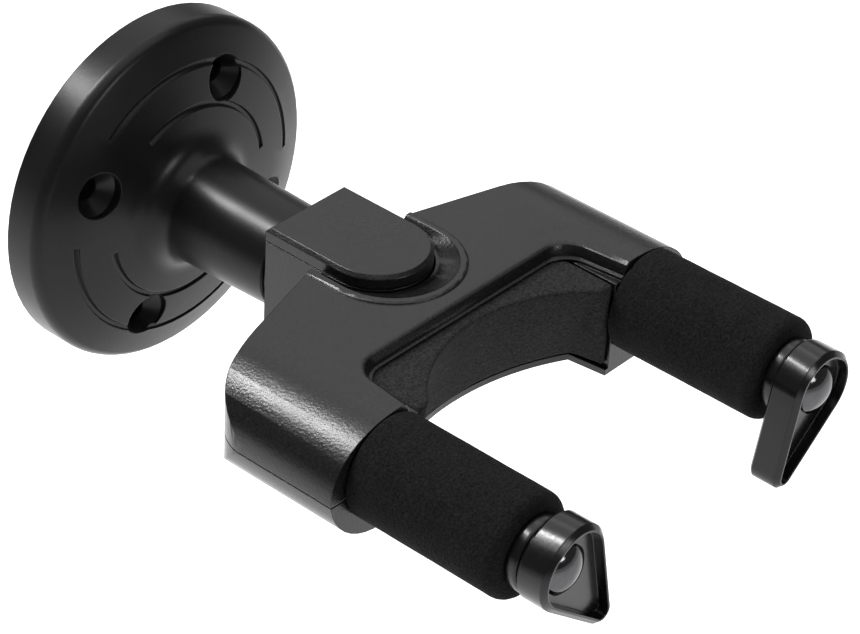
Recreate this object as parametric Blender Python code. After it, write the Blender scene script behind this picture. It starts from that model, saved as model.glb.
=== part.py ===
"""Wall guitar hanger with latches that close under the guitar's weight.

Lengths are in millimetres until a mesh is made. The wall is at y = 0 and the arms
point towards -Y. +Z is up, and +X is to the right for a person who faces the wall.
"""

import math

import bmesh
import bpy

MM = 0.001

# Wall plate and neck
PLATE_R = 40.0
PLATE_SIDE = 7.0
PLATE_EDGE_R = 3.2
NECK_ROOT_R = 12.1
NECK_END_R = 11.4
NECK_END_Y = -46.8
NECK_BORE_R = 8.6
NECK_WEB_Y = -30.0
HOLE_CIRCLE_R = 27.8
HOLE_TURN = 65.0
HOLE_R = 2.6
COUNTERSINK_R = 5.3
GROOVES = ((31.4, -12.45, 67.0), (22.4, -14.25, 56.0))
GROOVE_R = 0.8

# Guide block on the neck
BLOCK_HALF = 11.8
BLOCK_REAR_Y = -48.2
BLOCK_NOSE_Y = -68.3
BLOCK_TOP = 11.1
BLOCK_BOTTOM = -12.6
CAP_TOP = 14.4
CAP_CHAMFER = 0.8
GAP = 0.3

# Swivel bolt
BOLT_R = 4.0
BOLT_HEAD_R = 6.4
BOLT_POCKET = (-61.0, -52.6)
BOLT_HEAD_Y = -52.9
BOLT_HEAD_LENGTH = 5.4
BOLT_END_Y = -19.5
NUT_CORNER_R = 7.5

# Yoke shell
YOKE_TOP = 12.4
YOKE_BOTTOM = -14.1
YOKE_SIDE_X = 54.7
YOKE_FRONT_Y = -107.0
YOKE_REAR_Y = -63.6
REAR_SLOPE = 0.2885
REAR_STRAIGHT_X = 16.0
REAR_CORNER_R = 12.0
PARTING_Z = -1.8
WALL = 2.2
TOP_ARC_X = 37.0
SKIRT_X = 14.3
MIDDLE_END_X = 38.0
CAVITY_FRONT_Y = -87.3
CRANK_BAY_X = (34.0, 44.0, 47.0)
CRANK_BAY_Y = (-85.0, -78.0)
SHOULDER_CAVITY_X = 34.6
SHOULDER_CAVITY_REAR_Y = -83.2
SADDLE_X = 33.6
SADDLE_INSET = 1.2
SPIGOT_R = 2.7
SPIGOT_LENGTH = 1.8
COLLAR_HALF = 16.0
COLLAR_INNER_HALF = 14.0
COLLAR_NOSE_Y = -72.1
COLLAR_HEIGHT = 0.5
DISH_DEPTH = 2.2

# Throat and its pad
RECESS_HALF = 32.2
RECESS_BACK_Y = -92.0
RECESS_CORNER_R = 6.0
LIP_Z = 9.0
LEDGE_WIDTH = 0.7
PAD_FLOOR_Z = -12.6
PAD_BACK_Y = -89.4
PAD_HALF = 30.3
PAD_TOP_HORN_X = 26.6
PAD_TOP_DEEPEST_Y = -95.0
PAD_FOOT_HORN = (28.6, -98.4)
PAD_FOOT_DEEPEST_Y = -91.2
FLOOR_SETBACK = 0.5

# Arms
ARM_X = 39.7
ARM_Z = 1.0
TUBE_R = 7.0
TUBE_BORE_R = 4.6
TUBE_REAR_Y = -83.6
TUBE_FRONT_Y = -144.0
FLANGE_R = 8.0
FLANGE_Y = (-104.4, -101.4)
SADDLES_Y = ((-87.0, -84.2), (-100.9, -98.2))
SLEEVE_R = 11.4
SLEEVE_FRONT_Y = -144.0
SLEEVE_EDGE_R = 2.4
COLLAR_R = 8.0
COLLAR_EDGE_R = 0.9
COLLAR_FRONT_Y = -147.0
BUSH_LENGTH = 8.0

# Latches
SHAFT_R = 3.0
SHAFT_REAR_Y = -78.0
SHAFT_FRONT_Y = -151.0
LEVER_REAR_Y = -147.3
LEVER_RIM_Y = -154.4
LEVER_FLOOR_Y = -152.2
LEVER_CHAMFER = 1.0
LEVER_RIM_WIDTH = 1.4
TIP_CIRCLE = (-10.4, -15.2, 3.1)
HEAD_CIRCLE = (0.1, 0.4, 8.6)
CREST_CIRCLE = (-1.2, 1.2, 8.6)
DOME_R = 5.3
DOME_HEIGHT = 2.1

# Drive: the yoke drops, and the lift bar turns the cranks
YOKE_TRAVEL = 8.0
LATCH_TURN = 66.0
CRANK_THROW = YOKE_TRAVEL / 2.0 / math.sin(math.radians(LATCH_TURN / 2.0))
CRANK_Y = (-80.9, -78.3)
CRANK_HUB_R = 6.0
PIN_R = 1.5
PIN_CLEARANCE = 0.4
PIN_BOSS_R = 2.9
BAR_Y = (-77.6, -72.4)
BAR_HALF_HEIGHT = 3.2
BAR_Z = ARM_Z - YOKE_TRAVEL / 2.0
BAR_END_X = 36.4
PIN_NEAR_X = ARM_X - CRANK_THROW
PIN_FAR_X = ARM_X - CRANK_THROW * math.cos(math.radians(LATCH_TURN / 2.0))
SPRING_X = 22.0
SPRING_R = 3.6
SPRING_WIRE_R = 0.5
SPRING_TURNS = 4
SPRING_STEPS = 14
SEAT_R = 5.4
SEAT_CUP_R = 4.4
SEAT_FLOOR = 1.8

# Cover screws: (x, y) of one side, and the radius of the post round each
POSTS = ((16.4, -68.8, 2.5), (22.0, -84.2, 2.7))
SCREW_R = 1.0
SCREW_HEAD_R = 1.7
SCREW_HEAD_LENGTH = 1.4
SCREW_TOP_Z = 6.0


def arc(centre, radius, start, end, steps):
    """Points along an arc, from one angle in degrees to another."""
    points = []
    for step in range(steps + 1):
        angle = math.radians(start + (end - start) * step / steps)
        points.append((centre[0] + radius * math.cos(angle), centre[1] + radius * math.sin(angle)))
    return points


def to_world(axis, u, v, height):
    """A point of a section, with its height measured along the Y or the Z axis."""
    if axis == "Y":
        return (u, height, v)
    return (u, v, height)


def loft(axis, levels, shape=None):
    """A closed solid through outlines that all have the same number of points."""
    shape = shape or bmesh.new()
    rings = []
    for height, outline in levels:
        rings.append([shape.verts.new(to_world(axis, u, v, height)) for u, v in outline])
    count = len(rings[0])
    for lower, upper in zip(rings, rings[1:]):
        for i in range(count):
            j = (i + 1) % count
            shape.faces.new((lower[i], lower[j], upper[j], upper[i]))
    shape.faces.new(list(reversed(rings[0])))
    shape.faces.new(rings[-1])
    return shape


def prism(axis, outline, start, end, shape=None):
    return loft(axis, [(start, outline), (end, outline)], shape)


def box(low, high, shape=None):
    outline = [(low[0], low[1]), (high[0], low[1]), (high[0], high[1]), (low[0], high[1])]
    return prism("Z", outline, low[2], high[2], shape)


def turned(axis, centre, profile, segments=32, shape=None):
    """Turn (radius, height) points round an axis. A profile off the axis makes a ring."""
    shape = shape or bmesh.new()
    rings = []
    for radius, height in profile:
        if radius == 0.0:
            rings.append([shape.verts.new(to_world(axis, centre[0], centre[1], height))])
            continue
        circle = arc(centre, radius, 0.0, 360.0, segments)[:-1]
        rings.append([shape.verts.new(to_world(axis, u, v, height)) for u, v in circle])
    pairs = list(zip(rings, rings[1:]))
    if len(rings[0]) > 1 and len(rings[-1]) > 1:
        pairs.append((rings[-1], rings[0]))
    for lower, upper in pairs:
        for i in range(segments):
            j = (i + 1) % segments
            if len(lower) == 1:
                shape.faces.new((lower[0], upper[j], upper[i]))
            elif len(upper) == 1:
                shape.faces.new((lower[i], lower[j], upper[0]))
            else:
                shape.faces.new((lower[i], lower[j], upper[j], upper[i]))
    return shape


def cylinder(axis, centre, radius, start, end, segments=32, shape=None):
    profile = [(0.0, start), (radius, start), (radius, end), (0.0, end)]
    return turned(axis, centre, profile, segments, shape)


def tube(axis, centre, outer, inner, start, end, segments=32):
    profile = [(inner, start), (outer, start), (outer, end), (inner, end)]
    return turned(axis, centre, profile, segments)


def make_material(name, colour, roughness, metallic):
    material = bpy.data.materials.new(name)
    material.use_nodes = True
    shader = material.node_tree.nodes["Principled BSDF"]
    shader.inputs["Base Color"].default_value = (*colour, 1.0)
    shader.inputs["Roughness"].default_value = roughness
    shader.inputs["Metallic"].default_value = metallic
    material.diffuse_color = (*colour, 1.0)
    return material


def make_mesh(name, shape, origin):
    """Turn a shape in world millimetres into a mesh in metres about its origin."""
    bmesh.ops.recalc_face_normals(shape, faces=shape.faces)
    for vertex in shape.verts:
        for i in range(3):
            vertex.co[i] = (vertex.co[i] - origin[i]) * MM
    mesh = bpy.data.meshes.new(name)
    shape.to_mesh(mesh)
    shape.free()
    mesh.shade_smooth()
    mesh.set_sharp_from_angle(angle=math.radians(32.0))
    return mesh


def place(item, parent, origin):
    bpy.context.collection.objects.link(item)
    offset = parent["origin_mm"] if parent else (0.0, 0.0, 0.0)
    item.parent = parent
    item.location = [(origin[i] - offset[i]) * MM for i in range(3)]
    return item


def add_pivot(name, origin, parent=None):
    pivot = bpy.data.objects.new(name, None)
    pivot["origin_mm"] = origin
    return place(pivot, parent, origin)


def add_piece(name, shape, material, parent=None, origin=None):
    origin = origin or (parent["origin_mm"] if parent else (0.0, 0.0, 0.0))
    mesh = make_mesh(name, shape, origin)
    mesh.materials.append(material)
    return place(bpy.data.objects.new(name, mesh), parent, origin)


def add_cutter(name, shape):
    origin = (0.0, 0.0, 0.0)
    cutter = place(bpy.data.objects.new(name, make_mesh(name, shape, origin)), None, origin)
    cutter.hide_render = True
    cutter.display_type = "WIRE"
    return cutter


def combine(piece, operation, *tools):
    for tool in tools:
        step = piece.modifiers.new(tool.name, "BOOLEAN")
        step.operation = operation
        step.solver = "EXACT"
        step.object = tool


def both_sides(build):
    """Call build(side) for the left (-1) and the right (+1) and return one shape."""
    shape = bmesh.new()
    for side in (-1, 1):
        build(side, shape)
    return shape


def d_outline(half, nose_y, rear_y, shrink=0.0):
    """A D shape: square rear edge, straight sides and a round nose towards -Y."""
    half -= shrink
    points = [(-half, rear_y - shrink)]
    points += arc((0.0, nose_y), half, 180.0, 360.0, 28)
    points.append((half, rear_y - shrink))
    return points


def add_wall_plate(material):
    edge = arc((PLATE_R - PLATE_EDGE_R, PLATE_SIDE), PLATE_EDGE_R, 0.0, 62.0, 5)
    profile = [(NECK_BORE_R, 0.0), (PLATE_R - 0.6, 0.0), (PLATE_R, -0.6)]
    profile += [(radius, -depth) for radius, depth in edge]
    profile += [(35.2, -11.0), (31.4, -12.5), (27.0, -13.5), (22.4, -14.3), (18.0, -15.0)]
    flare = arc((18.0, 21.0), 18.0 - NECK_ROOT_R, 270.0, 180.0, 7)
    profile += [(radius, -depth) for radius, depth in flare[1:]]
    profile += [(NECK_END_R, NECK_END_Y + 0.4), (NECK_END_R - 0.4, NECK_END_Y)]
    profile += [(BOLT_R + GAP, NECK_END_Y), (BOLT_R + GAP, NECK_WEB_Y), (NECK_BORE_R, NECK_WEB_Y)]
    plate = add_piece("wall_plate", turned("Y", (0.0, 0.0), profile, 72), material)

    holes = bmesh.new()
    for quarter in range(4):
        centre = arc((0.0, 0.0), HOLE_CIRCLE_R, HOLE_TURN + 90.0 * quarter, 0.0, 1)[0]
        sink = [(0.0, 1.0), (HOLE_R, 1.0), (HOLE_R, -9.2), (COUNTERSINK_R, -12.2)]
        sink += [(COUNTERSINK_R, -18.0), (0.0, -18.0)]
        turned("Y", centre, sink, 24, holes)
    combine(plate, "DIFFERENCE", add_cutter("cut_screw_holes", holes))

    grooves = bmesh.new()
    for radius, depth_y, half_span in GROOVES:
        for middle in (HOLE_TURN, HOLE_TURN + 180.0):
            groove_rod(radius, depth_y, middle - half_span, middle + half_span, grooves)
    combine(plate, "DIFFERENCE", add_cutter("cut_grooves", grooves))
    return plate


def groove_rod(radius, depth_y, start, end, shape):
    """A bent rod that cuts one groove in the plate's face."""
    steps = 26
    sides = 6
    rings = []
    for step in range(steps + 1):
        angle = math.radians(start + (end - start) * step / steps)
        ring = []
        for u, v in arc((radius, depth_y), GROOVE_R, 0.0, 360.0, sides)[:-1]:
            ring.append(shape.verts.new((u * math.cos(angle), v, u * math.sin(angle))))
        rings.append(ring)
    for lower, upper in zip(rings, rings[1:]):
        for i in range(sides):
            j = (i + 1) % sides
            shape.faces.new((lower[i], lower[j], upper[j], upper[i]))
    shape.faces.new(list(reversed(rings[0])))
    shape.faces.new(rings[-1])


def add_swivel_hardware(steel, plastic, swivel):
    head_end = BOLT_HEAD_Y - BOLT_HEAD_LENGTH
    profile = [(0.0, BOLT_END_Y), (BOLT_R - 0.5, BOLT_END_Y), (BOLT_R, BOLT_END_Y - 0.5)]
    profile += [(BOLT_R, BOLT_HEAD_Y), (BOLT_HEAD_R, BOLT_HEAD_Y), (BOLT_HEAD_R, head_end + 0.5)]
    profile += [(BOLT_HEAD_R - 0.5, head_end), (0.0, head_end)]
    bolt = add_piece("swivel_bolt", turned("Y", (0.0, 0.0), profile), steel, swivel)
    socket = prism("Y", arc((0.0, 0.0), 3.4, 0.0, 300.0, 5), head_end - 1.0, head_end + 3.0)
    combine(bolt, "DIFFERENCE", add_cutter("cut_bolt_socket", socket))

    washer_front = BLOCK_REAR_Y + GAP
    washer = tube("Y", (0.0, 0.0), NECK_END_R - 0.5, BOLT_R + GAP, washer_front, NECK_END_Y - GAP, 48)
    add_piece("swivel_washer", washer, plastic)
    washer_y = NECK_WEB_Y + GAP
    flat = tube("Y", (0.0, 0.0), NUT_CORNER_R + 0.4, BOLT_R + GAP, washer_y, washer_y + 1.4)
    add_piece("bolt_washer", flat, steel, swivel)

    nut_y = washer_y + 1.4 + GAP
    nut_shape = prism("Y", arc((0.0, 0.0), NUT_CORNER_R, 0.0, 300.0, 5), nut_y, nut_y + 7.0)
    nut = add_piece("lock_nut", nut_shape, steel, swivel)
    bore = cylinder("Y", (0.0, 0.0), BOLT_R + GAP, nut_y - 1.0, nut_y + 8.0)
    combine(nut, "DIFFERENCE", add_cutter("cut_nut_bore", bore))


def add_guide_block(plastic, swivel):
    outline = d_outline(BLOCK_HALF, BLOCK_NOSE_Y, BLOCK_REAR_Y)
    shrunk = d_outline(BLOCK_HALF, BLOCK_NOSE_Y, BLOCK_REAR_Y, 0.4)
    levels = [(BLOCK_BOTTOM, shrunk), (BLOCK_BOTTOM + 0.4, outline), (BLOCK_TOP, outline)]
    block = add_piece("guide_block", loft("Z", levels), plastic, swivel)
    pocket = box((-8.0, BOLT_POCKET[0], -8.0), (8.0, BOLT_POCKET[1], BLOCK_TOP + 2.0))
    bolt_hole = cylinder("Y", (0.0, 0.0), BOLT_R + GAP, BOLT_POCKET[1] - 1.0, BLOCK_REAR_Y + 2.0)
    bar_low = (-20.0, BAR_Y[0] - GAP, BAR_Z - BAR_HALF_HEIGHT - GAP)
    bar_high = (20.0, BAR_Y[1] + GAP, BAR_Z + BAR_HALF_HEIGHT + GAP)
    screw_bore = cylinder("Z", (0.0, bar_middle_y()), SCREW_R + GAP, BLOCK_BOTTOM - 2.0, BAR_Z)
    head_bore = cylinder("Z", (0.0, bar_middle_y()), 3.0, BLOCK_BOTTOM - 2.0, BLOCK_BOTTOM + 2.4)
    combine(
        block,
        "DIFFERENCE",
        add_cutter("cut_bolt_pocket", pocket),
        add_cutter("cut_bolt_hole", bolt_hole),
        add_cutter("cut_bar_channel", box(bar_low, bar_high)),
        add_cutter("cut_bar_screw_bore", screw_bore),
        add_cutter("cut_bar_screw_head", head_bore),
    )

    chamfered = d_outline(BLOCK_HALF, BLOCK_NOSE_Y, BLOCK_REAR_Y, CAP_CHAMFER)
    levels = [(BLOCK_TOP + GAP, outline), (CAP_TOP - CAP_CHAMFER, outline), (CAP_TOP, chamfered)]
    add_piece("block_cap", loft("Z", levels), plastic, swivel)


def bar_middle_y():
    return (BAR_Y[0] + BAR_Y[1]) / 2.0


def add_lift_bar(steel, swivel):
    bottom = BAR_Z - BAR_HALF_HEIGHT
    top = BAR_Z + BAR_HALF_HEIGHT
    bar_shape = box((-BAR_END_X, BAR_Y[0], bottom), (BAR_END_X, BAR_Y[1], top))
    bar = add_piece("lift_bar", bar_shape, steel, swivel)

    def seat(side, shape):
        cylinder("Z", (side * SPRING_X, bar_middle_y()), SEAT_R, bottom - 0.3, top + 0.3, 32, shape)

    def cup(side, shape):
        centre = (side * SPRING_X, bar_middle_y())
        cylinder("Z", centre, SEAT_CUP_R, bottom + SEAT_FLOOR, top + 2.0, 32, shape)

    def pin_slot(side, shape):
        reach = PIN_R + PIN_CLEARANCE
        outline = arc((PIN_FAR_X, BAR_Z), reach, -90.0, 90.0, 8)
        outline += arc((PIN_NEAR_X, BAR_Z), reach, 90.0, 270.0, 8)
        outline = [(side * u, v) for u, v in outline]
        prism("Y", outline, BAR_Y[0] - 2.0, BAR_Y[1] + 2.0, shape)

    combine(bar, "UNION", add_cutter("add_spring_seats", both_sides(seat)))
    thread = cylinder("Z", (0.0, bar_middle_y()), SCREW_R + GAP, bottom - 2.0, BAR_Z + 1.6, 20)
    combine(
        bar,
        "DIFFERENCE",
        add_cutter("cut_seat_cups", both_sides(cup)),
        add_cutter("cut_pin_slots", both_sides(pin_slot)),
        add_cutter("cut_bar_thread", thread),
    )
    head_z = BLOCK_BOTTOM + 0.5
    profile = [(0.0, head_z), (2.6, head_z), (2.6, head_z + 1.6), (SCREW_R, head_z + 1.6)]
    profile += [(SCREW_R, BAR_Z + 1.2), (0.0, BAR_Z + 1.2)]
    screw = turned("Z", (0.0, bar_middle_y()), profile, 24)
    add_piece("lift_bar_screw", screw, steel, swivel)


def rear_wall_y(x, inset):
    """Where the yoke's slanted rear wall is at x, or a line inside it at the inset."""
    return YOKE_REAR_Y - inset / math.cos(math.atan(REAR_SLOPE)) - (x - REAR_STRAIGHT_X) * REAR_SLOPE


def half_plan():
    """Right half of the yoke seen from above, from its rear edge to its side."""
    slope = math.degrees(math.atan(REAR_SLOPE))
    tangent = REAR_CORNER_R * math.tan(math.radians(90.0 - slope) / 2.0)
    centre = (YOKE_SIDE_X - REAR_CORNER_R, rear_wall_y(YOKE_SIDE_X, 0.0) - tangent)
    return [(REAR_STRAIGHT_X, YOKE_REAR_Y)] + arc(centre, REAR_CORNER_R, 90.0 - slope, 0.0, 10)


def shoulder_section(side, inset):
    """The yoke's rounded shoulder seen from the front, from the top edge to the bottom edge."""
    points = []
    for step in range(11):
        angle = math.radians(90.0 - 9.0 * step)
        across = YOKE_SIDE_X - TOP_ARC_X - inset
        points.append((TOP_ARC_X + across * math.cos(angle), (YOKE_TOP - inset) * math.sin(angle)))
    for step in range(1, 11):
        angle = math.radians(-9.0 * step)
        across = YOKE_SIDE_X - ARM_X - inset
        points.append((ARM_X + across * math.cos(angle), -(YOKE_BOTTOM + inset) * math.sin(angle)))
    return [(side * u, v) for u, v in points]


def recess_outline(grow):
    """The throat above its lip. The corners at the back are round and the sides splay."""
    half = RECESS_HALF + grow
    back_y = RECESS_BACK_Y + grow
    radius = RECESS_CORNER_R
    right = arc((half - radius, back_y - radius), radius, 90.0, 0.0, 6)
    left = arc((radius - half, back_y - radius), radius, 180.0, 90.0, 6)
    return [(-half - 1.4, YOKE_FRONT_Y - 4.0)] + left + right + [(half + 1.4, YOKE_FRONT_Y - 4.0)]


def hollow_front(horn_x, deepest_y, horn_y, steps=24):
    """Points of the concave front that the guitar's neck rests against, right to left."""
    sagitta = deepest_y - horn_y
    radius = (horn_x ** 2 + sagitta ** 2) / (2.0 * sagitta)
    half_angle = math.degrees(math.asin(horn_x / radius))
    return arc((0.0, deepest_y - radius), radius, 90.0 - half_angle, 90.0 + half_angle, steps)


def foot_front(setback, front_y):
    """The concave front where it meets the floor: wider, with a short straight side."""
    horn_x, horn_y = PAD_FOOT_HORN
    curve = hollow_front(horn_x, PAD_FOOT_DEEPEST_Y + setback, horn_y + setback, 22)
    return [(PAD_HALF - 0.1, front_y)] + curve + [(0.1 - PAD_HALF, front_y)]


def yoke_tools():
    """Everything that cuts or thickens the two covers, by name."""
    def middle_cavity(side, shape):
        outline = [(SKIRT_X, rear_wall_y(REAR_STRAIGHT_X, WALL))]
        outline += [(x, rear_wall_y(x, WALL)) for x in (REAR_STRAIGHT_X, MIDDLE_END_X)]
        outline += [(MIDDLE_END_X, CAVITY_FRONT_Y), (SKIRT_X, CAVITY_FRONT_Y)]
        outline = [(side * u, v) for u, v in outline]
        prism("Z", outline, YOKE_BOTTOM + WALL, YOKE_TOP - WALL, shape)

    def crank_bay(side, shape):
        inner, shoulder, outer = CRANK_BAY_X
        front, rear = CRANK_BAY_Y
        outline = [(x, rear_wall_y(x, WALL)) for x in (inner, shoulder)]
        outline += [(outer, rear), (outer, front), (inner, front)]
        outline = [(side * u, v) for u, v in outline]
        prism("Z", outline, ARM_Z - 8.6, ARM_Z + 6.8, shape)

    def shoulder_cavity(side, shape):
        outline = [(side * SHOULDER_CAVITY_X, YOKE_TOP - WALL)] + shoulder_section(side, WALL)
        outline.append((side * SHOULDER_CAVITY_X, YOKE_BOTTOM + WALL))
        prism("Y", outline, YOKE_FRONT_Y + WALL, SHOULDER_CAVITY_REAR_Y, shape)

    def saddles(side, shape):
        outline = [(side * SADDLE_X, YOKE_TOP - SADDLE_INSET)] + shoulder_section(side, SADDLE_INSET)
        outline.append((side * SADDLE_X, YOKE_BOTTOM + SADDLE_INSET))
        for front, rear in SADDLES_Y:
            prism("Y", outline, front, rear, shape)

    def posts(side, shape):
        for x, y, radius in POSTS:
            cylinder("Z", (side * x, y), radius, YOKE_BOTTOM + 1.0, YOKE_TOP - 1.0, 20, shape)
        spigot_z = YOKE_TOP - WALL - SPIGOT_LENGTH
        cylinder("Z", (side * SPRING_X, bar_middle_y()), SPIGOT_R, spigot_z, YOKE_TOP - 1.0, 20, shape)

    def arm_bore(side, shape):
        bore = TUBE_R + GAP
        wide = FLANGE_R + GAP
        profile = [(0.0, YOKE_FRONT_Y - 2.0), (bore, YOKE_FRONT_Y - 2.0), (bore, FLANGE_Y[0] - GAP)]
        profile += [(wide, FLANGE_Y[0] - GAP), (wide, FLANGE_Y[1] + GAP), (bore, FLANGE_Y[1] + GAP)]
        profile += [(bore, SADDLES_Y[0][1] + 1.0), (0.0, SADDLES_Y[0][1] + 1.0)]
        turned("Y", (side * ARM_X, ARM_Z), profile, 40, shape)

    def blind_bores(side, shape):
        for x, y, _ in POSTS:
            cylinder("Z", (side * x, y), SCREW_R + GAP, PARTING_Z - 3.0, SCREW_TOP_Z + 1.0, 16, shape)

    def stepped_bores(side, shape):
        step_z = YOKE_BOTTOM + SCREW_HEAD_LENGTH + 0.8
        profile = [(0.0, YOKE_BOTTOM - 2.0), (SCREW_HEAD_R + GAP, YOKE_BOTTOM - 2.0)]
        profile += [(SCREW_HEAD_R + GAP, step_z), (SCREW_R + GAP, step_z)]
        profile += [(SCREW_R + GAP, PARTING_Z + 2.0), (0.0, PARTING_Z + 2.0)]
        for x, y, _ in POSTS:
            turned("Z", (side * x, y), profile, 16, shape)

    section = shoulder_section(1, 0.0) + list(reversed(shoulder_section(-1, 0.0)))
    slot = d_outline(BLOCK_HALF + 0.4, BLOCK_NOSE_Y, YOKE_REAR_Y + 8.0)
    collar_z = YOKE_TOP + COLLAR_HEIGHT
    outer = d_outline(COLLAR_HALF, COLLAR_NOSE_Y, YOKE_REAR_Y - 0.02)
    outer_top = d_outline(COLLAR_HALF - 0.5, COLLAR_NOSE_Y, YOKE_REAR_Y - 0.02)
    collar = [(YOKE_TOP - 1.0, outer), (collar_z - 0.3, outer), (collar_z, outer_top)]
    dish_rear_y = YOKE_REAR_Y + 8.0
    dish_top = d_outline(COLLAR_INNER_HALF + 0.5, COLLAR_NOSE_Y, dish_rear_y)
    dish_rim = d_outline(COLLAR_INNER_HALF, COLLAR_NOSE_Y, dish_rear_y)
    dish_floor = d_outline(BLOCK_HALF + 0.8, BLOCK_NOSE_Y - 0.6, dish_rear_y)
    dish = [(collar_z - DISH_DEPTH, dish_floor), (collar_z - 0.3, dish_rim), (collar_z + 0.1, dish_top)]
    recess = [(LIP_Z - 0.4, recess_outline(-LEDGE_WIDTH)), (LIP_Z + 0.3, recess_outline(-LEDGE_WIDTH))]
    recess += [(LIP_Z + 0.5, recess_outline(-0.1)), (LIP_Z + 1.6, recess_outline(0.0))]
    recess += [(YOKE_TOP - 0.6, recess_outline(0.5)), (YOKE_TOP + 0.1, recess_outline(1.5))]
    recess.append((YOKE_TOP + 2.0, recess_outline(4.0)))
    pocket_half = PAD_HALF + GAP
    front_y = YOKE_FRONT_Y - 4.0
    floor = foot_front(FLOOR_SETBACK, front_y)
    bar_low = (-SKIRT_X - 1.0, BAR_Y[0] - 0.5, BAR_Z - BAR_HALF_HEIGHT - 0.5)
    bar_high = (SKIRT_X + 1.0, BAR_Y[1] + 0.5, BAR_Z + BAR_HALF_HEIGHT + YOKE_TRAVEL + 0.5)
    below = box((-70.0, -120.0, -30.0), (70.0, -50.0, PARTING_Z + GAP / 2.0))
    above = box((-70.0, -120.0, PARTING_Z - GAP / 2.0), (70.0, -50.0, 30.0))
    return {
        "section": add_cutter("cut_yoke_section", prism("Y", section, -120.0, -50.0)),
        "middle": add_cutter("cut_middle_cavities", both_sides(middle_cavity)),
        "cranks": add_cutter("cut_crank_bays", both_sides(crank_bay)),
        "shoulders": add_cutter("cut_shoulder_cavities", both_sides(shoulder_cavity)),
        "saddles": add_cutter("add_saddles", both_sides(saddles)),
        "posts": add_cutter("add_posts", both_sides(posts)),
        "arm_bores": add_cutter("cut_arm_bores", both_sides(arm_bore)),
        "blind_bores": add_cutter("cut_blind_bores", both_sides(blind_bores)),
        "stepped_bores": add_cutter("cut_stepped_bores", both_sides(stepped_bores)),
        "collar": add_cutter("add_collar", loft("Z", collar)),
        "dish": add_cutter("cut_dish", loft("Z", dish)),
        "slot": add_cutter("cut_block_slot", prism("Z", slot, BLOCK_BOTTOM - GAP, 20.0)),
        "recess": add_cutter("cut_recess", loft("Z", recess)),
        "pocket": add_cutter(
            "cut_pad_pocket", box((-pocket_half, front_y, PAD_FLOOR_Z), (pocket_half, PAD_BACK_Y, LIP_Z))
        ),
        "floor": add_cutter("cut_floor_front", prism("Z", floor, -20.0, PAD_FLOOR_Z + 0.1)),
        "bar_way": add_cutter("cut_bar_way", box(bar_low, bar_high)),
        "below": add_cutter("cut_below_parting", below),
        "above": add_cutter("cut_above_parting", above),
    }


def add_yoke_covers(plastic, yoke):
    right = half_plan()
    plan = [(-u, v) for u, v in reversed(right)] + right
    plan += [(YOKE_SIDE_X, YOKE_FRONT_Y), (-YOKE_SIDE_X, YOKE_FRONT_Y)]
    tools = yoke_tools()
    covers = (
        ("yoke_cover_top", "below", ("collar",), ("dish", "recess", "blind_bores")),
        ("yoke_cover_bottom", "above", (), ("floor", "stepped_bores")),
    )
    for name, parting, raised, cuts in covers:
        shape = prism("Z", plan, YOKE_BOTTOM, YOKE_TOP)
        cover = add_piece(name, shape, plastic, yoke)
        combine(cover, "INTERSECT", tools["section"])
        combine(cover, "DIFFERENCE", tools["middle"], tools["cranks"], tools["shoulders"])
        combine(cover, "UNION", tools["saddles"], tools["posts"])
        combine(cover, "UNION", *[tools[tool] for tool in raised])
        combine(cover, "DIFFERENCE", tools[parting], tools["slot"], tools["bar_way"])
        combine(cover, "DIFFERENCE", tools["pocket"], tools["arm_bores"])
        combine(cover, "DIFFERENCE", *[tools[tool] for tool in cuts])


def add_cover_screws(steel, yoke):
    head_z = YOKE_BOTTOM + 0.5
    shoulder_z = head_z + SCREW_HEAD_LENGTH
    profile = [(0.0, head_z), (SCREW_HEAD_R, head_z), (SCREW_HEAD_R, shoulder_z), (SCREW_R, shoulder_z)]
    profile += [(SCREW_R, SCREW_TOP_Z), (0.0, SCREW_TOP_Z)]
    for row, (x, y, _) in zip(("rear", "front"), POSTS):
        for side, word in ((-1, "left"), (1, "right")):
            shape = turned("Z", (side * x, y), profile, 20)
            add_piece(f"cover_screw_{row}_{word}", shape, steel, yoke)


def add_front_pad(foam, yoke):
    front_y = YOKE_FRONT_Y + GAP
    back = [(-PAD_HALF, front_y), (-PAD_HALF, PAD_BACK_Y - GAP), (PAD_HALF, PAD_BACK_Y - GAP)]
    back.append((PAD_HALF, front_y))
    foot = foot_front(0.0, front_y) + back
    top = hollow_front(PAD_TOP_HORN_X, PAD_TOP_DEEPEST_Y, front_y) + back
    pad = loft("Z", [(PAD_FLOOR_Z + GAP, foot), (LIP_Z - GAP, top)])
    add_piece("front_pad", pad, foam, yoke)


def add_spring(word, side, steel, swivel):
    """A compression spring that stands in the lift bar's cup and lifts the top cover."""
    bottom = BAR_Z - BAR_HALF_HEIGHT + SEAT_FLOOR + GAP + SPRING_WIRE_R
    top = YOKE_TOP - WALL - GAP - SPRING_WIRE_R
    centre = (side * SPRING_X, bar_middle_y())
    curve = bpy.data.curves.new(f"{word}_return_spring", "CURVE")
    curve.dimensions = "3D"
    curve.bevel_depth = SPRING_WIRE_R * MM
    curve.bevel_resolution = 1
    curve.use_fill_caps = True
    steps = SPRING_TURNS * SPRING_STEPS
    line = curve.splines.new("POLY")
    line.points.add(steps)
    for step in range(steps + 1):
        angle = math.radians(360.0 / SPRING_STEPS * step)
        x = centre[0] + SPRING_R * math.cos(angle)
        y = centre[1] + SPRING_R * math.sin(angle)
        z = bottom + (top - bottom) * step / steps
        line.points[step].co = (x * MM, y * MM, z * MM, 1.0)
    curve.materials.append(steel)
    spring = bpy.data.objects.new(curve.name, curve)
    return place(spring, swivel, (0.0, 0.0, 0.0))


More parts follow.
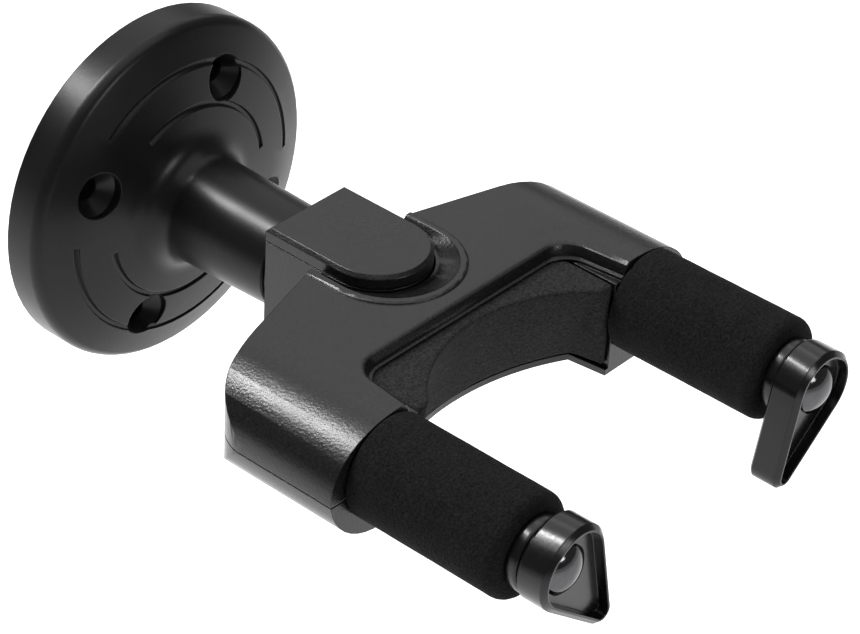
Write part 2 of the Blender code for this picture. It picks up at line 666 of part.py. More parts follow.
def add_arm(word, side, steel, nylon, foam, plastic, yoke):
    centre = (side * ARM_X, ARM_Z)
    profile = [(TUBE_BORE_R, TUBE_FRONT_Y), (TUBE_R, TUBE_FRONT_Y), (TUBE_R, FLANGE_Y[0])]
    profile += [(FLANGE_R, FLANGE_Y[0]), (FLANGE_R, FLANGE_Y[1]), (TUBE_R, FLANGE_Y[1])]
    profile += [(TUBE_R, TUBE_REAR_Y), (TUBE_BORE_R, TUBE_REAR_Y)]
    add_piece(f"{word}_arm_tube", turned("Y", centre, profile, 40), steel, yoke)

    front_edge = arc((SLEEVE_R - SLEEVE_EDGE_R, 0.0), SLEEVE_EDGE_R, 0.0, 90.0, 5)
    profile = [(TUBE_R + GAP, YOKE_FRONT_Y - GAP), (SLEEVE_R, YOKE_FRONT_Y - GAP)]
    profile += [(radius, SLEEVE_FRONT_Y + SLEEVE_EDGE_R - rise) for radius, rise in front_edge]
    profile.append((TUBE_R + GAP, SLEEVE_FRONT_Y))
    add_piece(f"{word}_foam_sleeve", turned("Y", centre, profile, 48), foam, yoke)

    shoulder_y = TUBE_FRONT_Y - GAP
    edge = arc((COLLAR_R - COLLAR_EDGE_R, 0.0), COLLAR_EDGE_R, 0.0, 90.0, 4)
    profile = [(SHAFT_R + GAP, shoulder_y + BUSH_LENGTH), (TUBE_BORE_R - GAP, shoulder_y + BUSH_LENGTH)]
    profile += [(TUBE_BORE_R - GAP, shoulder_y), (COLLAR_R, shoulder_y)]
    profile += [(radius, COLLAR_FRONT_Y + COLLAR_EDGE_R - rise) for radius, rise in edge]
    profile.append((SHAFT_R + GAP, COLLAR_FRONT_Y))
    add_piece(f"{word}_front_bush", turned("Y", centre, profile, 40), plastic, yoke)

    rear_y = TUBE_REAR_Y - 0.4
    rear_bush = tube("Y", centre, TUBE_BORE_R - GAP, SHAFT_R + GAP, rear_y - BUSH_LENGTH, rear_y)
    add_piece(f"{word}_rear_bush", rear_bush, nylon, yoke)


def tangent_angle(first, second):
    """The outward direction, in degrees, of the line that touches two circles on their right."""
    across = (second[0] - first[0], second[1] - first[1])
    lean = math.acos((first[2] - second[2]) / math.hypot(*across))
    return math.degrees(math.atan2(across[1], across[0]) - lean)


def teardrop(side, shrink):
    """The latch seen from the front: a taut line round three circles."""
    circles = (TIP_CIRCLE, HEAD_CIRCLE, CREST_CIRCLE)
    points = []
    for index, (u, v, radius) in enumerate(circles):
        start = tangent_angle(circles[index - 1], circles[index])
        end = tangent_angle(circles[index], circles[(index + 1) % 3])
        turn = (end - start) % 360.0
        points += arc((u, v), radius - shrink, start, start + turn, 2 + int(turn / 11.0))
    return [(side * (ARM_X + u), ARM_Z + v) for u, v in points]


def add_latch(word, side, plastic, steel, latch):
    centre = (side * ARM_X, ARM_Z)
    shaft = [(0.0, SHAFT_REAR_Y), (SHAFT_R, SHAFT_REAR_Y), (SHAFT_R, SHAFT_FRONT_Y)]
    shaft += [(1.6, SHAFT_FRONT_Y), (1.6, SHAFT_FRONT_Y + 9.0), (0.0, SHAFT_FRONT_Y + 9.0)]
    add_piece(f"{word}_latch_shaft", turned("Y", centre, shaft), steel, latch)

    low = math.radians(180.0 + LATCH_TURN / 2.0)
    pin = (side * (ARM_X + CRANK_THROW * math.cos(low)), ARM_Z + CRANK_THROW * math.sin(low))
    lean = math.degrees(math.acos((CRANK_HUB_R - PIN_BOSS_R) / CRANK_THROW))
    heading = math.degrees(low)
    hub = arc((0.0, 0.0), CRANK_HUB_R, heading + lean, heading + 360.0 - lean, 24)
    offset = (CRANK_THROW * math.cos(low), CRANK_THROW * math.sin(low))
    boss = arc(offset, PIN_BOSS_R, heading - lean, heading + lean, 10)
    outline = [(side * (ARM_X + u), ARM_Z + v) for u, v in hub + boss]
    crank = add_piece(f"{word}_crank", prism("Y", outline, CRANK_Y[0], CRANK_Y[1]), steel, latch)
    pin_shape = cylinder("Y", pin, PIN_R, CRANK_Y[0] + 0.8, BAR_Y[1] + 0.3, 20)
    combine(crank, "UNION", add_cutter(f"add_{word}_crank_pin", pin_shape))
    bore = cylinder("Y", centre, SHAFT_R + GAP, CRANK_Y[0] - 2.0, CRANK_Y[1] + 2.0)
    combine(crank, "DIFFERENCE", add_cutter(f"cut_{word}_crank_bore", bore))

    outline = teardrop(side, 0.0)
    levels = [(LEVER_REAR_Y, teardrop(side, 0.6)), (LEVER_REAR_Y - 0.6, outline)]
    levels += [(LEVER_RIM_Y + LEVER_CHAMFER, outline), (LEVER_RIM_Y + 0.2, teardrop(side, 0.8))]
    levels += [(LEVER_RIM_Y, teardrop(side, LEVER_CHAMFER)), (LEVER_RIM_Y, teardrop(side, LEVER_RIM_WIDTH))]
    levels.append((LEVER_FLOOR_Y, teardrop(side, LEVER_RIM_WIDTH + 0.3)))
    lever = add_piece(f"{word}_latch_lever", loft("Y", levels), plastic, latch)
    stepped = [(0.0, LEVER_REAR_Y + 2.0), (SHAFT_R + GAP, LEVER_REAR_Y + 2.0)]
    stepped += [(SHAFT_R + GAP, SHAFT_FRONT_Y - GAP), (1.6, SHAFT_FRONT_Y - GAP)]
    stepped += [(1.6, LEVER_FLOOR_Y - 2.0), (0.0, LEVER_FLOOR_Y - 2.0)]
    combine(lever, "DIFFERENCE", add_cutter(f"cut_{word}_lever_bore", turned("Y", centre, stepped)))

    face_y = LEVER_FLOOR_Y - GAP
    radius = (DOME_R ** 2 + DOME_HEIGHT ** 2) / (2.0 * DOME_HEIGHT)
    half_angle = math.degrees(math.asin(DOME_R / radius))
    dome = arc((0.0, DOME_HEIGHT - radius), radius, 90.0 - half_angle, 90.0, 8)
    profile = [(0.0, SHAFT_FRONT_Y + 8.0), (1.3, SHAFT_FRONT_Y + 8.0), (1.3, face_y), (DOME_R, face_y)]
    profile += [(x, face_y - rise) for x, rise in dome[1:-1]]
    profile.append((0.0, face_y - DOME_HEIGHT))
    add_piece(f"{word}_latch_screw", turned("Y", centre, profile, 36), steel, latch)


def clear_scene():
    for item in list(bpy.data.objects):
        bpy.data.objects.remove(item, do_unlink=True)


def main():
    clear_scene()
    cast_black = make_material("satin_black_casting", (0.018, 0.018, 0.02), 0.42, 0.0)
    moulded_black = make_material("moulded_black_plastic", (0.014, 0.014, 0.015), 0.38, 0.0)
    gloss_black = make_material("gloss_black_plastic", (0.01, 0.01, 0.011), 0.15, 0.0)
    foam_black = make_material("black_foam", (0.02, 0.02, 0.02), 0.95, 0.0)
    black_steel = make_material("black_steel", (0.03, 0.03, 0.032), 0.3, 0.9)
    zinc_steel = make_material("zinc_plated_steel", (0.55, 0.56, 0.58), 0.32, 1.0)
    natural_nylon = make_material("natural_nylon", (0.75, 0.73, 0.68), 0.5, 0.0)

    swivel = add_pivot("swivel_pivot", (0.0, BLOCK_REAR_Y, 0.0))
    yoke = add_pivot("yoke_pivot", (0.0, bar_middle_y(), 0.0), swivel)
    add_wall_plate(cast_black)
    add_swivel_hardware(zinc_steel, moulded_black, swivel)
    add_guide_block(moulded_black, swivel)
    add_lift_bar(zinc_steel, swivel)
    add_yoke_covers(moulded_black, yoke)
    add_cover_screws(zinc_steel, yoke)
    add_front_pad(foam_black, yoke)
    for word, side in (("left", -1), ("right", 1)):
        add_spring(word, side, zinc_steel, swivel)
        add_arm(word, side, zinc_steel, natural_nylon, foam_black, gloss_black, yoke)
        latch = add_pivot(f"{word}_latch_pivot", (side * ARM_X, COLLAR_FRONT_Y, ARM_Z), yoke)
        add_latch(word, side, gloss_black, black_steel, latch)


main()
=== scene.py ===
"""Wall hanger for a guitar: the finishes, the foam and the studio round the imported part.

Lengths are in metres unless a name ends in mm, and angles are in degrees. The wall is the
plane y = 0, the arms reach towards -Y and +Z is up.
"""

import math

import bmesh
import bpy
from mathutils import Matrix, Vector, noise


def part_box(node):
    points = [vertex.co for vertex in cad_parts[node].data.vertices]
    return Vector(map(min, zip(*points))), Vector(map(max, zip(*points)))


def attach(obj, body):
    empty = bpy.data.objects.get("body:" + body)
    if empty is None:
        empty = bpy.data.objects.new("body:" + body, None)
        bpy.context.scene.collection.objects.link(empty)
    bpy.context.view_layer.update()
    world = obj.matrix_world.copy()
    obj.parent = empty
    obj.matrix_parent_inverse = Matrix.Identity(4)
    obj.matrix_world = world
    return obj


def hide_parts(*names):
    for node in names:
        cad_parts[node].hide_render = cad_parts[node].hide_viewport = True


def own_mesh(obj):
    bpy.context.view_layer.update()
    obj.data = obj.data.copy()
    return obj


MM = 0.001
UP = Vector((0.0, 0.0, 1.0))

# How far a surface's normal turns before its edge shows, how round the edges look, and how
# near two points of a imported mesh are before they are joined.
SHARP_ANGLE = 32.0
EDGE_ROUND_MM = 0.3
EDGE_SAMPLES = 6
SAME_POINT_MM = 0.001

# Noise is stretched from this range before it drives a colour or a roughness.
NOISE_LOW = 0.3
NOISE_HIGH = 0.7

# Foam: the grid that its skin is built on, its cells, and its slow waviness.
FOAM_GRID_MM = 0.6
FOAM_CELL_MM = 1.5
FOAM_CELL_DEPTH_MM = 0.025
FOAM_WAVE_MM = 9.0
FOAM_WAVE_DEPTH_MM = 0.06

# Sleeves: the rear corner's rounding and the place of its middle point, the bevel at the front
# of the bore, the steps of the front corner's arc, and the depth that counts as the front face.
SLEEVE_REAR_EDGE_MM = 0.5
SLEEVE_REAR_MIDDLE_MM = 0.15
SLEEVE_BORE_BEVEL_MM = 0.3
SLEEVE_ARC_STEPS = 6
SLEEVE_FACE_DEPTH_MM = 0.1

# Pad: how its edges are rubbed round.
PAD_SMOOTH_FACTOR = 0.5
PAD_SMOOTH_PASSES = 8

# Return springs: turns, wire thickness, and the steps round a turn and round the wire.
SPRING_TURNS = 4
SPRING_WIRE_MM = 1.0
SPRING_STEPS = 48
WIRE_SIDES = 12

# Camera.
CAMERA_PLACE = (-0.4090, -0.4222, 0.3785)
CAMERA_AIM = (0.0102, -0.0750, -0.0055)
CAMERA_ROLL = 3.33
CAMERA_LENS_MM = 133.7
CAMERA_SENSOR_MM = 36.0
CAMERA_NEAR = 0.01

# Floor: its height and size, its brightness where it is palest, the share of that in its darker
# patches, their size, and its glow.
FLOOR_Z = -0.2
FLOOR_SIZE = 20.0
FLOOR_LEVEL = 0.92
FLOOR_PATCH_SHARE = 0.97
FLOOR_PATCH_MM = 300.0
FLOOR_GLOW = 0.5

# Studio. A soft box is its name, azimuth, elevation, distance, width, height and power.
STUDIO_MIDDLE = (0.0, -0.07, 0.0)
SOFT_BOXES = (
    ("back_right_box", 135.0, 38.0, 1.0, 0.9, 0.7, 1.9),
    ("back_left_strip", -155.0, 54.0, 1.0, 0.1, 0.4, 10.5),
    ("front_box", 4.0, 23.0, 1.1, 0.3, 0.3, 2.8),
    ("overhead_box", 90.0, 86.0, 1.1, 1.4, 1.4, 8.5),
)
SKY_STRENGTH = 0.16


# ---------------------------------------------------------------------------------------
# Materials
# ---------------------------------------------------------------------------------------


def grey(level):
    """The colour with this level in all three channels."""
    return (level, level, level)


def new_material(name, colour, roughness, metallic=0.0, specular=0.5):
    """A Principled material; returns it with its tree, its shader and a mapped coordinate."""
    material = bpy.data.materials.new(name)
    material.use_nodes = True
    tree = material.node_tree
    shader = tree.nodes["Principled BSDF"]
    shader.inputs["Base Color"].default_value = (*colour, 1.0)
    shader.inputs["Roughness"].default_value = roughness
    shader.inputs["Metallic"].default_value = metallic
    shader.inputs["Specular IOR Level"].default_value = specular
    place = tree.nodes.new("ShaderNodeTexCoord").outputs["Object"]
    return material, tree, shader, place


def noise_at(tree, place, size_mm, detail=2.0, roughness=0.5):
    """Noise whose features are about size_mm across."""
    node = tree.nodes.new("ShaderNodeTexNoise")
    node.inputs["Scale"].default_value = 1.0 / (size_mm * MM)
    node.inputs["Detail"].default_value = detail
    node.inputs["Roughness"].default_value = roughness
    tree.links.new(place, node.inputs["Vector"])
    return node.outputs["Fac"]


def cells_at(tree, place, size_mm):
    """Distance to the nearest cell centre, in cells about size_mm across."""
    node = tree.nodes.new("ShaderNodeTexVoronoi")
    node.inputs["Scale"].default_value = 1.0 / (size_mm * MM)
    tree.links.new(place, node.inputs["Vector"])
    return node.outputs["Distance"]


def between(tree, value, low, high):
    """The noise value mapped to the range from low to high."""
    node = tree.nodes.new("ShaderNodeMapRange")
    node.inputs["From Min"].default_value = NOISE_LOW
    node.inputs["From Max"].default_value = NOISE_HIGH
    node.inputs["To Min"].default_value = low
    node.inputs["To Max"].default_value = high
    tree.links.new(value, node.inputs["Value"])
    return node.outputs["Result"]


def tint(tree, value, dark, light):
    """The noise value mapped to the colours from dark to light."""
    node = tree.nodes.new("ShaderNodeValToRGB")
    node.color_ramp.elements[0].position = NOISE_LOW
    node.color_ramp.elements[0].color = (*dark, 1.0)
    node.color_ramp.elements[1].position = NOISE_HIGH
    node.color_ramp.elements[1].color = (*light, 1.0)
    tree.links.new(value, node.inputs["Fac"])
    return node.outputs["Color"]


def round_edges(tree, radius_mm=EDGE_ROUND_MM):
    """Normals that turn smoothly over each edge, so that no edge looks knife-sharp."""
    node = tree.nodes.new("ShaderNodeBevel")
    node.samples = EDGE_SAMPLES
    node.inputs["Radius"].default_value = radius_mm * MM
    return node.outputs["Normal"]


def raise_surface(tree, normal, height, depth_mm):
    """The normal bent by a height map that is depth_mm deep. None is the surface's own normal."""
    node = tree.nodes.new("ShaderNodeBump")
    node.inputs["Distance"].default_value = depth_mm * MM
    tree.links.new(height, node.inputs["Height"])
    if normal is not None:
        tree.links.new(normal, node.inputs["Normal"])
    return node.outputs["Normal"]


def painted_casting():
    """Satin black paint over a zinc casting: a soft orange peel and a fine powder grain."""
    material, tree, shader, place = new_material("satin_black_paint", grey(0.004), 0.3, specular=0.2)
    peel = noise_at(tree, place, 1.6)
    grain = noise_at(tree, place, 0.35, detail=3.0)
    patches = noise_at(tree, place, 14.0, detail=3.0)
    normal = raise_surface(tree, round_edges(tree), peel, 0.012)
    normal = raise_surface(tree, normal, grain, 0.008)
    tree.links.new(normal, shader.inputs["Normal"])
    tree.links.new(between(tree, patches, 0.27, 0.34), shader.inputs["Roughness"])
    tree.links.new(tint(tree, grain, grey(0.004), grey(0.007)), shader.inputs["Base Color"])
    return material


def textured_plastic():
    """Black nylon moulded in a spark-textured tool: a fine matt grain on every face."""
    material, tree, shader, place = new_material("textured_black_plastic", grey(0.005), 0.26, specular=0.34)
    grain = noise_at(tree, place, 0.5, detail=3.0, roughness=0.65)
    fine = cells_at(tree, place, 0.6)
    flow = noise_at(tree, place, 18.0, detail=3.0)
    normal = raise_surface(tree, round_edges(tree), grain, 0.045)
    normal = raise_surface(tree, normal, fine, 0.02)
    tree.links.new(normal, shader.inputs["Normal"])
    tree.links.new(between(tree, flow, 0.23, 0.29), shader.inputs["Roughness"])
    tree.links.new(tint(tree, grain, grey(0.001), grey(0.012)), shader.inputs["Base Color"])
    return material


def gloss_plastic():
    """Polished black plastic with the faint ripple and hairline scuffs of a handled part."""
    material, tree, shader, place = new_material("gloss_black_plastic", grey(0.004), 0.2, specular=0.36)
    ripple = noise_at(tree, place, 3.0, detail=1.0)
    scuffs = noise_at(tree, place, 0.5, detail=4.0, roughness=0.7)
    normal = raise_surface(tree, round_edges(tree, 0.35), ripple, 0.01)
    tree.links.new(normal, shader.inputs["Normal"])
    tree.links.new(between(tree, scuffs, 0.16, 0.26), shader.inputs["Roughness"])
    return material


def foam(name, dark, light):
    """Closed-cell rubber foam: dull, with its outer cells cut open."""
    material, tree, shader, place = new_material(name, dark, 0.95, specular=0.1)
    cells = cells_at(tree, place, 0.7)
    grain = noise_at(tree, place, 0.5, detail=3.0, roughness=0.7)
    patches = noise_at(tree, place, 6.0, detail=4.0)
    normal = raise_surface(tree, None, cells, 0.16)
    normal = raise_surface(tree, normal, grain, 0.12)
    tree.links.new(normal, shader.inputs["Normal"])
    tree.links.new(between(tree, patches, 0.88, 1.0), shader.inputs["Roughness"])
    tree.links.new(tint(tree, grain, dark, light), shader.inputs["Base Color"])
    return material


def plated_steel(name, dark, light, smooth_end, rough_end):
    """Turned and plated steel: fine grain, with cloudy patches in the plating."""
    material, tree, shader, place = new_material(name, light, smooth_end, metallic=1.0)
    grain = noise_at(tree, place, 0.25, detail=3.0, roughness=0.6)
    clouds = noise_at(tree, place, 4.0, detail=3.0)
    normal = raise_surface(tree, round_edges(tree, 0.2), grain, 0.006)
    tree.links.new(normal, shader.inputs["Normal"])
    tree.links.new(between(tree, clouds, smooth_end, rough_end), shader.inputs["Roughness"])
    tree.links.new(tint(tree, clouds, dark, light), shader.inputs["Base Color"])
    return material


def nylon():
    """Natural nylon, slightly milky, with a fine moulded grain."""
    material, tree, shader, place = new_material("milky_nylon", (0.75, 0.73, 0.68), 0.5)
    grain = noise_at(tree, place, 0.3, detail=3.0)
    clouds = noise_at(tree, place, 5.0)
    normal = raise_surface(tree, round_edges(tree, 0.2), grain, 0.008)
    tree.links.new(normal, shader.inputs["Normal"])
    tree.links.new(tint(tree, clouds, (0.68, 0.66, 0.60), (0.78, 0.76, 0.71)), shader.inputs["Base Color"])
    return material


def pale_floor():
    """White paper with wide, faint patches. Its glow keeps it white between the lamps."""
    material, tree, shader, place = new_material("pale_floor", grey(FLOOR_LEVEL), 0.9, specular=0.1)
    patches = noise_at(tree, place, FLOOR_PATCH_MM)
    darker = grey(FLOOR_PATCH_SHARE * FLOOR_LEVEL)
    tree.links.new(tint(tree, patches, darker, grey(FLOOR_LEVEL)), shader.inputs["Base Color"])
    shader.inputs["Emission Color"].default_value = (1.0, 1.0, 1.0, 1.0)
    shader.inputs["Emission Strength"].default_value = FLOOR_GLOW
    return material


# ---------------------------------------------------------------------------------------
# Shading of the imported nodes
# ---------------------------------------------------------------------------------------


def shading_group():
    """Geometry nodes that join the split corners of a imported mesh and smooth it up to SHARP_ANGLE."""
    group = bpy.data.node_groups.new("smooth_by_angle", "GeometryNodeTree")
    group.interface.new_socket("Geometry", in_out="INPUT", socket_type="NodeSocketGeometry")
    group.interface.new_socket("Geometry", in_out="OUTPUT", socket_type="NodeSocketGeometry")
    start = group.nodes.new("NodeGroupInput")
    end = group.nodes.new("NodeGroupOutput")
    merge = group.nodes.new("GeometryNodeMergeByDistance")
    merge.inputs["Distance"].default_value = SAME_POINT_MM * MM
    faces = group.nodes.new("GeometryNodeSetShadeSmooth")
    edges = group.nodes.new("GeometryNodeSetShadeSmooth")
    edges.domain = "EDGE"
    angle = group.nodes.new("GeometryNodeInputMeshEdgeAngle")
    gentle = group.nodes.new("FunctionNodeCompare")
    gentle.operation = "LESS_THAN"
    gentle.inputs["B"].default_value = math.radians(SHARP_ANGLE)
    group.links.new(start.outputs[0], merge.inputs["Geometry"])
    group.links.new(merge.outputs["Geometry"], faces.inputs["Geometry"])
    group.links.new(faces.outputs["Geometry"], edges.inputs["Geometry"])
    group.links.new(angle.outputs["Unsigned Angle"], gentle.inputs["A"])
    group.links.new(gentle.outputs["Result"], edges.inputs["Shade Smooth"])
    group.links.new(edges.outputs["Geometry"], end.inputs[0])
    return group


def finish_node(node, material, group):
    """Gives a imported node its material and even, smooth shading; its points stay as they are."""
    node.data.materials.clear()
    node.data.materials.append(material)
    corner_normals = node.data.attributes.get("custom_normal")
    if corner_normals is not None:
        node.data.attributes.remove(corner_normals)
    node.modifiers.new("smooth_by_angle", "NODES").node_group = group
    even = node.modifiers.new("even_shading", "WEIGHTED_NORMAL")
    even.keep_sharp = True


# ---------------------------------------------------------------------------------------
# Meshes
# ---------------------------------------------------------------------------------------


def new_piece(name, mesh, material):
    """An object that shows the mesh, smooth and in one material."""
    piece = bpy.data.objects.new(name, mesh)
    bpy.context.scene.collection.objects.link(piece)
    mesh.materials.clear()
    mesh.materials.append(material)
    mesh.polygons.foreach_set("use_smooth", [True] * len(mesh.polygons))
    return piece


def bridge(bm, ring, following):
    """Faces between two closed rings that have the same number of points."""
    for index in range(len(ring)):
        after = (index + 1) % len(ring)
        bm.faces.new((ring[index], ring[after], following[after], following[index]))


def closed_mesh(bm, name):
    """A mesh of the closed surface in bm, with its faces turned outwards."""
    bmesh.ops.recalc_face_normals(bm, faces=bm.faces)
    mesh = bpy.data.meshes.new(name)
    bm.to_mesh(mesh)
    bm.free()
    return mesh


# ---------------------------------------------------------------------------------------
# Foam
# ---------------------------------------------------------------------------------------


def roughen(mesh):
    """Moves the points in or out by the foam's cells and its slow waviness."""
    normals = [vertex.normal.copy() for vertex in mesh.vertices]
    for vertex, normal in zip(mesh.vertices, normals):
        cells = noise.noise(vertex.co / (FOAM_CELL_MM * MM))
        wave = noise.noise(vertex.co / (FOAM_WAVE_MM * MM))
        depth = FOAM_CELL_DEPTH_MM * cells + FOAM_WAVE_DEPTH_MM * wave
        vertex.co += normal * (depth * MM)
    mesh.update()


def settle_foam(piece, node, body):
    """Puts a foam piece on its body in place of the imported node."""
    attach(piece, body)
    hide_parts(node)


def sleeve_corners(inner, outer, front, rear, front_edge):
    """Corners of a sleeve's section as radius and y, from the bore's rear end round to its front."""
    rear_edge = SLEEVE_REAR_EDGE_MM * MM
    rear_middle = SLEEVE_REAR_MIDDLE_MM * MM
    bevel = SLEEVE_BORE_BEVEL_MM * MM
    corners = [
        (inner, rear),
        (outer - rear_edge, rear),
        (outer - rear_middle, rear - rear_middle),
        (outer, rear - rear_edge),
    ]
    for step in range(SLEEVE_ARC_STEPS + 1):
        turn = math.radians(90.0 * step / SLEEVE_ARC_STEPS)
        radius = outer - front_edge + front_edge * math.cos(turn)
        corners.append((radius, front + front_edge - front_edge * math.sin(turn)))
    corners += [(inner + bevel, front), (inner, front + bevel)]
    return corners


def outline_through(corners, grid):
    """A closed outline through the corners, with a point about every grid length."""
    outline = []
    for start, end in zip(corners, corners[1:] + corners[:1]):
        steps = max(1, round(math.dist(start, end) / grid))
        for step in range(steps):
            share = step / steps
            outline.append([a + (b - a) * share for a, b in zip(start, end)])
    return outline


def turned_mesh(name, outline, centre, sides):
    """An outline of radius and y turned round the line through centre along Y."""
    bm = bmesh.new()
    rings = []
    for side in range(sides):
        turn = 2.0 * math.pi * side / sides
        across = Vector((math.cos(turn), 0.0, math.sin(turn)))
        ring = []
        for radius, y in outline:
            ring.append(bm.verts.new(centre + across * radius + Vector((0.0, y, 0.0))))
        rings.append(ring)
    for side, ring in enumerate(rings):
        bridge(bm, ring, rings[(side + 1) % sides])
    return closed_mesh(bm, name)


def foam_sleeve(word, material, body):
    """A foam tube turned on the arm's axis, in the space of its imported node."""
    node = f"{word}_foam_sleeve"
    low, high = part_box(node)
    centre = Vector(((low.x + high.x) / 2.0, 0.0, (low.z + high.z) / 2.0))
    grid = FOAM_GRID_MM * MM
    face_end = low.y + SLEEVE_FACE_DEPTH_MM * MM
    radii = []
    face_radii = []
    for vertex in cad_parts[node].data.vertices:
        radius = math.hypot(vertex.co.x - centre.x, vertex.co.z - centre.z)
        radii.append(radius)
        if vertex.co.y < face_end:
            face_radii.append(radius)
    outer = (high.x - low.x) / 2.0
    front_edge = outer - max(face_radii)
    corners = sleeve_corners(min(radii), outer, low.y, high.y, front_edge)
    sides = round(2.0 * math.pi * outer / grid)
    mesh = turned_mesh(f"{node}_soft", outline_through(corners, grid), centre, sides)
    roughen(mesh)
    piece = new_piece(f"{node}_soft", mesh, material)
    settle_foam(piece, node, body)


def foam_pad(material, body):
    """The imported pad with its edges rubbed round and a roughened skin."""
    node = "front_pad"
    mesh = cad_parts[node].data.copy()
    bm = bmesh.new()
    bm.from_mesh(mesh)
    bmesh.ops.remove_doubles(bm, verts=bm.verts, dist=SAME_POINT_MM * MM)
    bm.to_mesh(mesh)
    bm.free()
    draft = bpy.data.objects.new("pad_draft", mesh)
    bpy.context.scene.collection.objects.link(draft)
    remesh = draft.modifiers.new("skin", "REMESH")
    remesh.mode = "VOXEL"
    remesh.voxel_size = FOAM_GRID_MM * MM
    smooth = draft.modifiers.new("soft_edges", "SMOOTH")
    smooth.factor = PAD_SMOOTH_FACTOR
    smooth.iterations = PAD_SMOOTH_PASSES
    graph = bpy.context.evaluated_depsgraph_get()
    skin = bpy.data.meshes.new_from_object(draft.evaluated_get(graph))
    bpy.data.objects.remove(draft)
    skin.name = f"{node}_soft"
    roughen(skin)
    piece = new_piece(f"{node}_soft", skin, material)
    settle_foam(piece, node, body)


# ---------------------------------------------------------------------------------------
# Springs
# ---------------------------------------------------------------------------------------


def wound_mesh(name, low, high):
    """A round wire wound upright in the box from low to high."""
    centre = (low + high) / 2.0
    wire = SPRING_WIRE_MM * MM / 2.0
    radius = (high.x - low.x) / 2.0 - wire
    rise = high.z - low.z - 2.0 * wire
    steps = SPRING_TURNS * SPRING_STEPS
    bm = bmesh.new()
    rings = []
    for step in range(steps + 1):
        turn = 2.0 * math.pi * step / SPRING_STEPS
        out = Vector((math.cos(turn), math.sin(turn), 0.0))
        middle = Vector((centre.x, centre.y, low.z + wire + rise * step / steps)) + out * radius
        ring = []
        for side in range(WIRE_SIDES):
            angle = 2.0 * math.pi * side / WIRE_SIDES
            ring.append(bm.verts.new(middle + (out * math.cos(angle) + UP * math.sin(angle)) * wire))
        rings.append(ring)
    for lower, upper in zip(rings, rings[1:]):
        bridge(bm, lower, upper)
    bm.faces.new(rings[0])
    bm.faces.new(rings[-1])
    return closed_mesh(bm, name)


def return_spring(word, material):
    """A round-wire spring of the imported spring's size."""
    node = f"{word}_return_spring"
    low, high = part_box(node)
    piece = new_piece(f"{node}_wound", wound_mesh(f"{node}_wound", low, high), material)
    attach(piece, "swivel_head")
    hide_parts(node)
    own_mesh(piece)


# ---------------------------------------------------------------------------------------
# Studio
# ---------------------------------------------------------------------------------------


def aim(thing, target):
    """Turns a camera or a lamp towards the target."""
    away = thing.location - Vector(target)
    thing.rotation_euler = away.to_track_quat("Z", "Y").to_euler()


def add_camera():
    """A long lens in front of the object, above it and to its left, rolled a little."""
    data = bpy.data.cameras.new("camera")
    data.lens = CAMERA_LENS_MM
    data.sensor_width = CAMERA_SENSOR_MM
    data.clip_start = CAMERA_NEAR
    camera = bpy.data.objects.new("camera", data)
    camera.location = CAMERA_PLACE
    aim(camera, CAMERA_AIM)
    camera.rotation_euler.rotate_axis("Z", math.radians(CAMERA_ROLL))
    bpy.context.scene.collection.objects.link(camera)
    bpy.context.scene.camera = camera


def add_soft_box(name, azimuth, elevation, distance, width, height, power):
    """A rectangular lamp; azimuth 0 is in front of the object, 90 to its right."""
    data = bpy.data.lights.new(name, "AREA")
    data.shape = "RECTANGLE"
    data.size = width
    data.size_y = height
    data.energy = power
    lamp = bpy.data.objects.new(name, data)
    turn = math.radians(azimuth)
    rise = math.radians(elevation)
    away = Vector((math.sin(turn) * math.cos(rise), -math.cos(turn) * math.cos(rise), math.sin(rise)))
    lamp.location = Vector(STUDIO_MIDDLE) + away * distance
    aim(lamp, STUDIO_MIDDLE)
    bpy.context.scene.collection.objects.link(lamp)


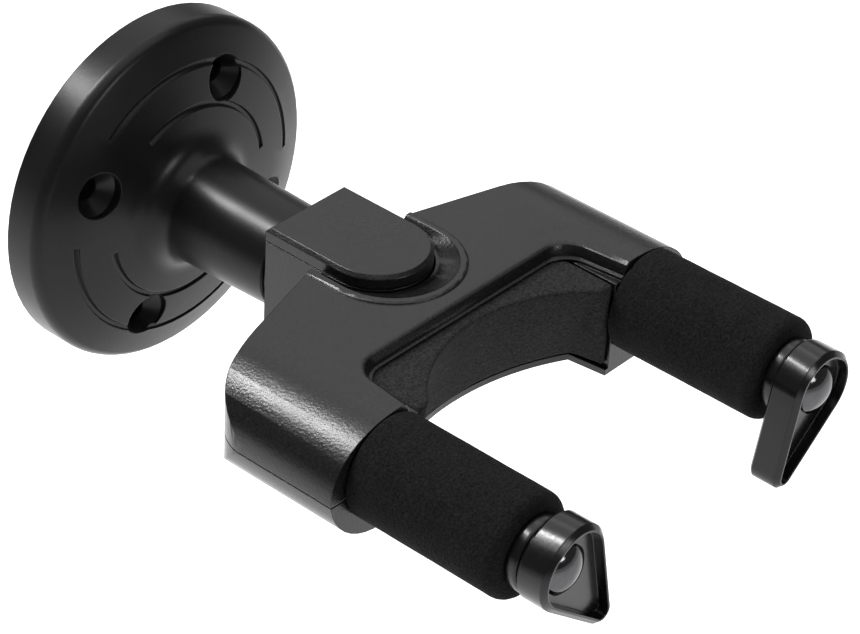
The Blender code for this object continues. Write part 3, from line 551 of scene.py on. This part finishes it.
def add_floor():
    """A large pale floor well below the object."""
    mesh = bpy.data.meshes.new("floor")
    half = FLOOR_SIZE / 2.0
    corners = [(-half, -half, 0.0), (half, -half, 0.0), (half, half, 0.0), (-half, half, 0.0)]
    mesh.from_pydata(corners, [], [(0, 1, 2, 3)])
    mesh.materials.append(pale_floor())
    floor = bpy.data.objects.new("floor", mesh)
    floor.location.z = FLOOR_Z
    bpy.context.scene.collection.objects.link(floor)


def add_sky():
    """A weak white light from all round."""
    world = bpy.data.worlds.new("studio")
    world.use_nodes = True
    sky = world.node_tree.nodes["Background"]
    sky.inputs["Color"].default_value = (1.0, 1.0, 1.0, 1.0)
    sky.inputs["Strength"].default_value = SKY_STRENGTH
    bpy.context.scene.world = world


# ---------------------------------------------------------------------------------------
# The scene
# ---------------------------------------------------------------------------------------

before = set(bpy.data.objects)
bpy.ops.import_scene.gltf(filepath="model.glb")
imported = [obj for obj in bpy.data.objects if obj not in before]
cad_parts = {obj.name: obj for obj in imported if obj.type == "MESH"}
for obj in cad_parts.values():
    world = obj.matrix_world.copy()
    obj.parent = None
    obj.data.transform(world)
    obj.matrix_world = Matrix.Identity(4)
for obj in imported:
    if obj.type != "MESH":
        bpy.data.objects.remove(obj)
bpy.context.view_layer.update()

finishes = {
    "cast_black": painted_casting(),
    "moulded_black": textured_plastic(),
    "gloss_black": gloss_plastic(),
    "foam_black": foam("black_foam", grey(0.001), grey(0.013)),
    "black_steel": plated_steel("black_steel", (0.07, 0.07, 0.073), (0.10, 0.10, 0.104), 0.06, 0.11),
    "zinc_steel": plated_steel("zinc_steel", (0.50, 0.51, 0.53), (0.62, 0.63, 0.64), 0.26, 0.38),
    "natural_nylon": nylon(),
}
smooth_by_angle = shading_group()
for cad_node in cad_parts.values():
    finish_node(cad_node, finishes[cad_node.data.materials[0].name], smooth_by_angle)

for arm in ("left", "right"):
    foam_sleeve(arm, finishes["foam_black"], "yoke")
    return_spring(arm, finishes["zinc_steel"])
# The pad uses the sleeves' black foam painted lighter: a painted highlight for the light its faces catch.
foam_pad(foam("pad_foam_painted_lighter", grey(0.005), grey(0.032)), "yoke")

add_camera()
add_floor()
add_sky()
for soft_box in SOFT_BOXES:
    add_soft_box(*soft_box)
bpy.context.scene.view_settings.view_transform = "Standard"
